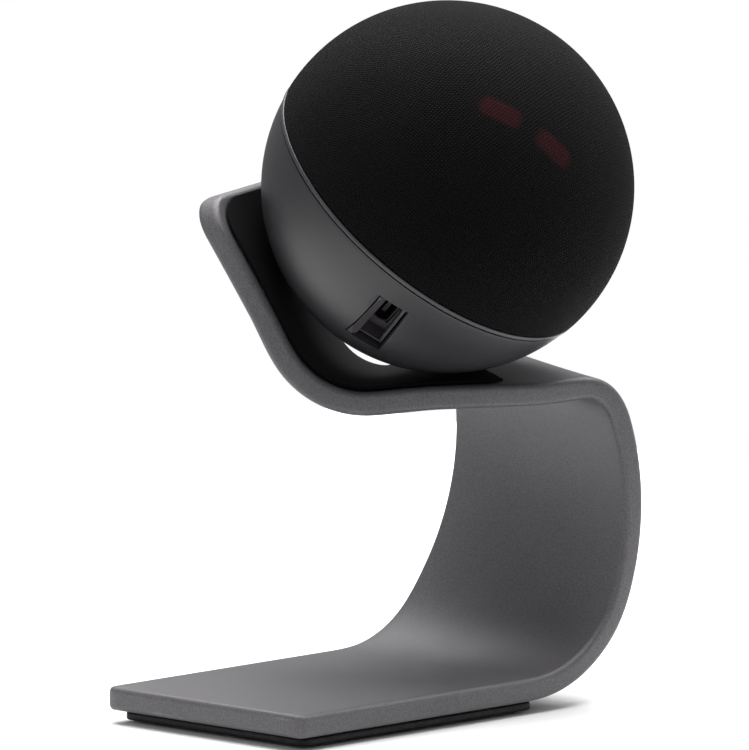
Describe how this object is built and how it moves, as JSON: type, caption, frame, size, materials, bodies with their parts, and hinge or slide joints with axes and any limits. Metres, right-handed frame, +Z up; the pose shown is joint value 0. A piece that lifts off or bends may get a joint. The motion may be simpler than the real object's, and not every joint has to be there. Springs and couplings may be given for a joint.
{
  "type": "desktop ball microphone",
  "caption": "Ball-shaped desktop device with a knitted front and a smooth rear shell, resting in the crook of a bent and turned strap stand.",
  "frame": {"origin": "middle of the underside of the whole object's bounding box, on the surface that it stands on", "axes": "+X along the foot from its free end towards the C's back, +Y away from the side that the ball faces, +Z up"},
  "size_m": [0.0932, 0.077, 0.1249],
  "materials": {
    "strap": "fine-grained metallic dark grey coat",
    "pad": "matt black",
    "liner": "soft black napped liner",
    "shell": "matt dark slate",
    "trim": "satin dark slate",
    "knit": "fine black knit",
    "steel": "bare",
    "dome": "anodised dark",
    "chassis": "matt",
    "board": "solder mask",
    "chip": "moulded",
    "light": "tinted light guide",
    "rubber": "matt",
    "brass": "machined",
    "membrane": "gold-sputtered film"
  },
  "bodies": {
    "stand": {"stand_strap": "strap", "foot_pad": "pad", "cradle_liner": "liner"},
    "ball": {"rear_shell": "shell", "trim_ring": "trim", "fabric_cover": "knit", "grille_dome": "dome", "port_niche": "shell", "cord_receptacle": "steel", "receptacle_tongue": "chip", "chassis": "chassis", "main_board": "board", "front_board": "board", "light_bar_left": "light", "light_bar_right": "light", "codec_chip": "chip", "power_chip": "chip", "capsule_mount": "rubber", "capsule_body": "brass", "capsule_backplate": "brass", "capsule_membrane": "membrane", "capsule_clamp": "brass", "chassis_screw_1": "steel", "chassis_screw_2": "steel", "chassis_screw_3": "steel", "front_board_screw_1": "steel", "front_board_screw_2": "steel", "front_board_screw_3": "steel", "main_board_screw_1": "steel", "main_board_screw_2": "steel", "main_board_screw_3": "steel"}
  },
  "joints": [
    {"name": "ball_tilt", "type": "hinge", "parent": "stand", "child": "ball", "pos_m": [0.01354, -0.00541, 0.09179], "axis": [0.9611, 0.276, 0], "range_deg": [-25, 25]}
  ]
}
